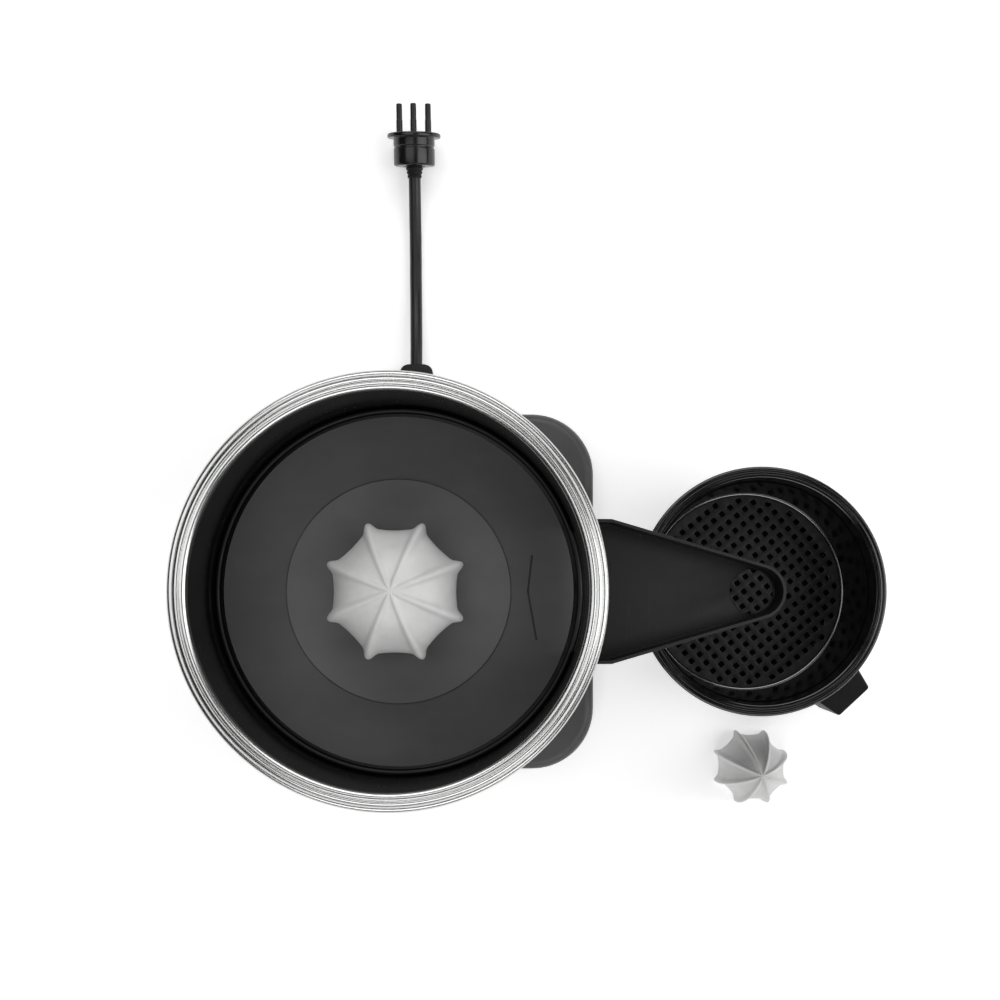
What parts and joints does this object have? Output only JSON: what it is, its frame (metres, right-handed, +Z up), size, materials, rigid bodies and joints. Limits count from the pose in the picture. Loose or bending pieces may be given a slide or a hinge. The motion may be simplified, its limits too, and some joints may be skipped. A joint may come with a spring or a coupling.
{
  "type": "electric citrus juicer",
  "caption": "Electric citrus juicer: a driven ribbed cone in a steel-rimmed lift-off bowl, a sloping spout, a cup with a strainer, a spare cone, and a short lead with its plug.",
  "frame": {"origin": "on the axis of the drive shaft, on the table under the foot ring", "axes": "+Z up the drive axis, +X along the spout towards the cup, +Y towards the lead at the back"},
  "size_m": [0.3303, 0.3767, 0.166],
  "materials": {
    "rubber": "matte",
    "plinth_plastic": "satin, fine moulded grain",
    "zinc": "satin",
    "steel": "brushed round the drum",
    "rim_steel": "polished, lightly brushed",
    "deck_plastic": "satin",
    "bronze": "satin",
    "lamination": "dull",
    "copper": "lacquered",
    "shaft_steel": "ground",
    "terminal_plastic": "satin",
    "wire_skin": "satin",
    "cord_skin": "satin",
    "plug_plastic": "satin gloss",
    "pin_metal": "black, satin",
    "gear_plastic": "satin",
    "gloss_black": "gloss",
    "seal_black": "satin",
    "floor_grey": "matte",
    "centre_grey": "matte",
    "spout_black": "satin",
    "reamer_white": "satin",
    "handle_black": "matte",
    "mesh_black": "satin"
  },
  "bodies": {
    "housing": {"foot_ring": "rubber", "bottom_cover": "plinth_plastic", "cover_screws": "zinc", "plinth_shell": "plinth_plastic", "drum_shell": "steel", "lower_posts": "zinc", "gear_plate": "zinc", "upper_posts": "zinc", "top_deck": "deck_plastic", "deck_bearing": "bronze", "plate_bush": "bronze", "shaft_seal": "rubber", "stator_stack": "lamination", "stator_coil": "copper", "motor_bracket": "zinc", "motor_studs": "zinc", "rotor_bushes": "bronze", "idler_axle": "shaft_steel", "switch_body": "deck_plastic", "switch_bracket": "zinc", "return_spring": "shaft_steel", "terminal_block": "terminal_plastic", "wire_leads": "wire_skin", "cord_tail": "rubber", "cord_gland": "rubber", "power_cord": "cord_skin", "plug_boot": "rubber", "plug_body": "plug_plastic", "plug_pins": "pin_metal"},
    "rotor": {"rotor_core": "lamination", "rotor_shaft": "shaft_steel", "motor_pinion": "bronze"},
    "idler": {"idler_gear": "zinc"},
    "drive": {"output_gear": "gear_plastic", "drive_shaft": "shaft_steel"},
    "plunger": {"push_rod": "gear_plastic"},
    "bowl": {"bowl_liner": "gloss_black", "bead_ring": "seal_black", "floor_disc": "floor_grey", "centre_disc": "centre_grey", "rim_ring": "rim_steel", "spout": "spout_black", "notch_cover": "steel"},
    "sleeve": {"drive_sleeve": "gear_plastic", "sleeve_clip": "shaft_steel"},
    "spindle": {"spindle": "shaft_steel"},
    "reamer": {"large_reamer": "reamer_white"},
    "cup": {"cup_wall": "gloss_black", "cup_handle": "handle_black"},
    "strainer": {"strainer_basket": "gloss_black", "strainer_mesh": "mesh_black"},
    "small_reamer": {"small_reamer": "reamer_white"}
  },
  "joints": [
    {"name": "drive_spin", "type": "hinge", "parent": "housing", "child": "drive", "pos_m": [0, 0, 0.09], "axis": [0, 0, 1], "continuous": true},
    {"name": "idler_spin", "type": "hinge", "parent": "housing", "child": "idler", "pos_m": [-0.045, 0, 0.086], "axis": [0, 0, 1], "continuous": true},
    {"name": "rotor_spin", "type": "hinge", "parent": "housing", "child": "rotor", "pos_m": [-0.05303, 0.02473, 0.054], "axis": [0, 0, 1], "continuous": true},
    {"name": "bowl_lift", "type": "slide", "parent": "housing", "child": "bowl", "axis": [0, 0, 1], "range_m": [0, 0.08]},
    {"name": "sleeve_spin", "type": "hinge", "parent": "bowl", "child": "sleeve", "pos_m": [0, 0, 0.118], "axis": [0, 0, 1], "continuous": true},
    {"name": "spindle_press", "type": "slide", "parent": "sleeve", "child": "spindle", "axis": [0, 0, 1], "range_m": [-0.0025, 0], "stiffness_N_per_m": 800, "springref_m": 0.003},
    {"name": "plunger_press", "type": "slide", "parent": "housing", "child": "plunger", "axis": [0, 0, 1], "range_m": [-0.0025, 0], "deforming": ["return_spring"]},
    {"name": "reamer_lift", "type": "slide", "parent": "spindle", "child": "reamer", "axis": [0, 0, 1], "range_m": [0, 0.05]},
    {"name": "cup_slide", "type": "slide", "parent": "housing", "child": "cup", "axis": [1, 0, 0], "range_m": [0, 0.12]},
    {"name": "strainer_lift", "type": "slide", "parent": "cup", "child": "strainer", "axis": [0, 0, 1], "range_m": [0, 0.006]},
    {"name": "small_reamer_lift", "type": "slide", "parent": "housing", "child": "small_reamer", "axis": [0, 0, 1], "range_m": [0, 0.05]}
  ],
  "couplings": [
    {"joint": "idler_spin", "follows": "drive_spin", "ratio": -4},
    {"joint": "rotor_spin", "follows": "drive_spin", "ratio": 13.333},
    {"joint": "sleeve_spin", "follows": "drive_spin", "ratio": 1},
    {"joint": "plunger_press", "follows": "spindle_press", "ratio": 1}
  ]
}
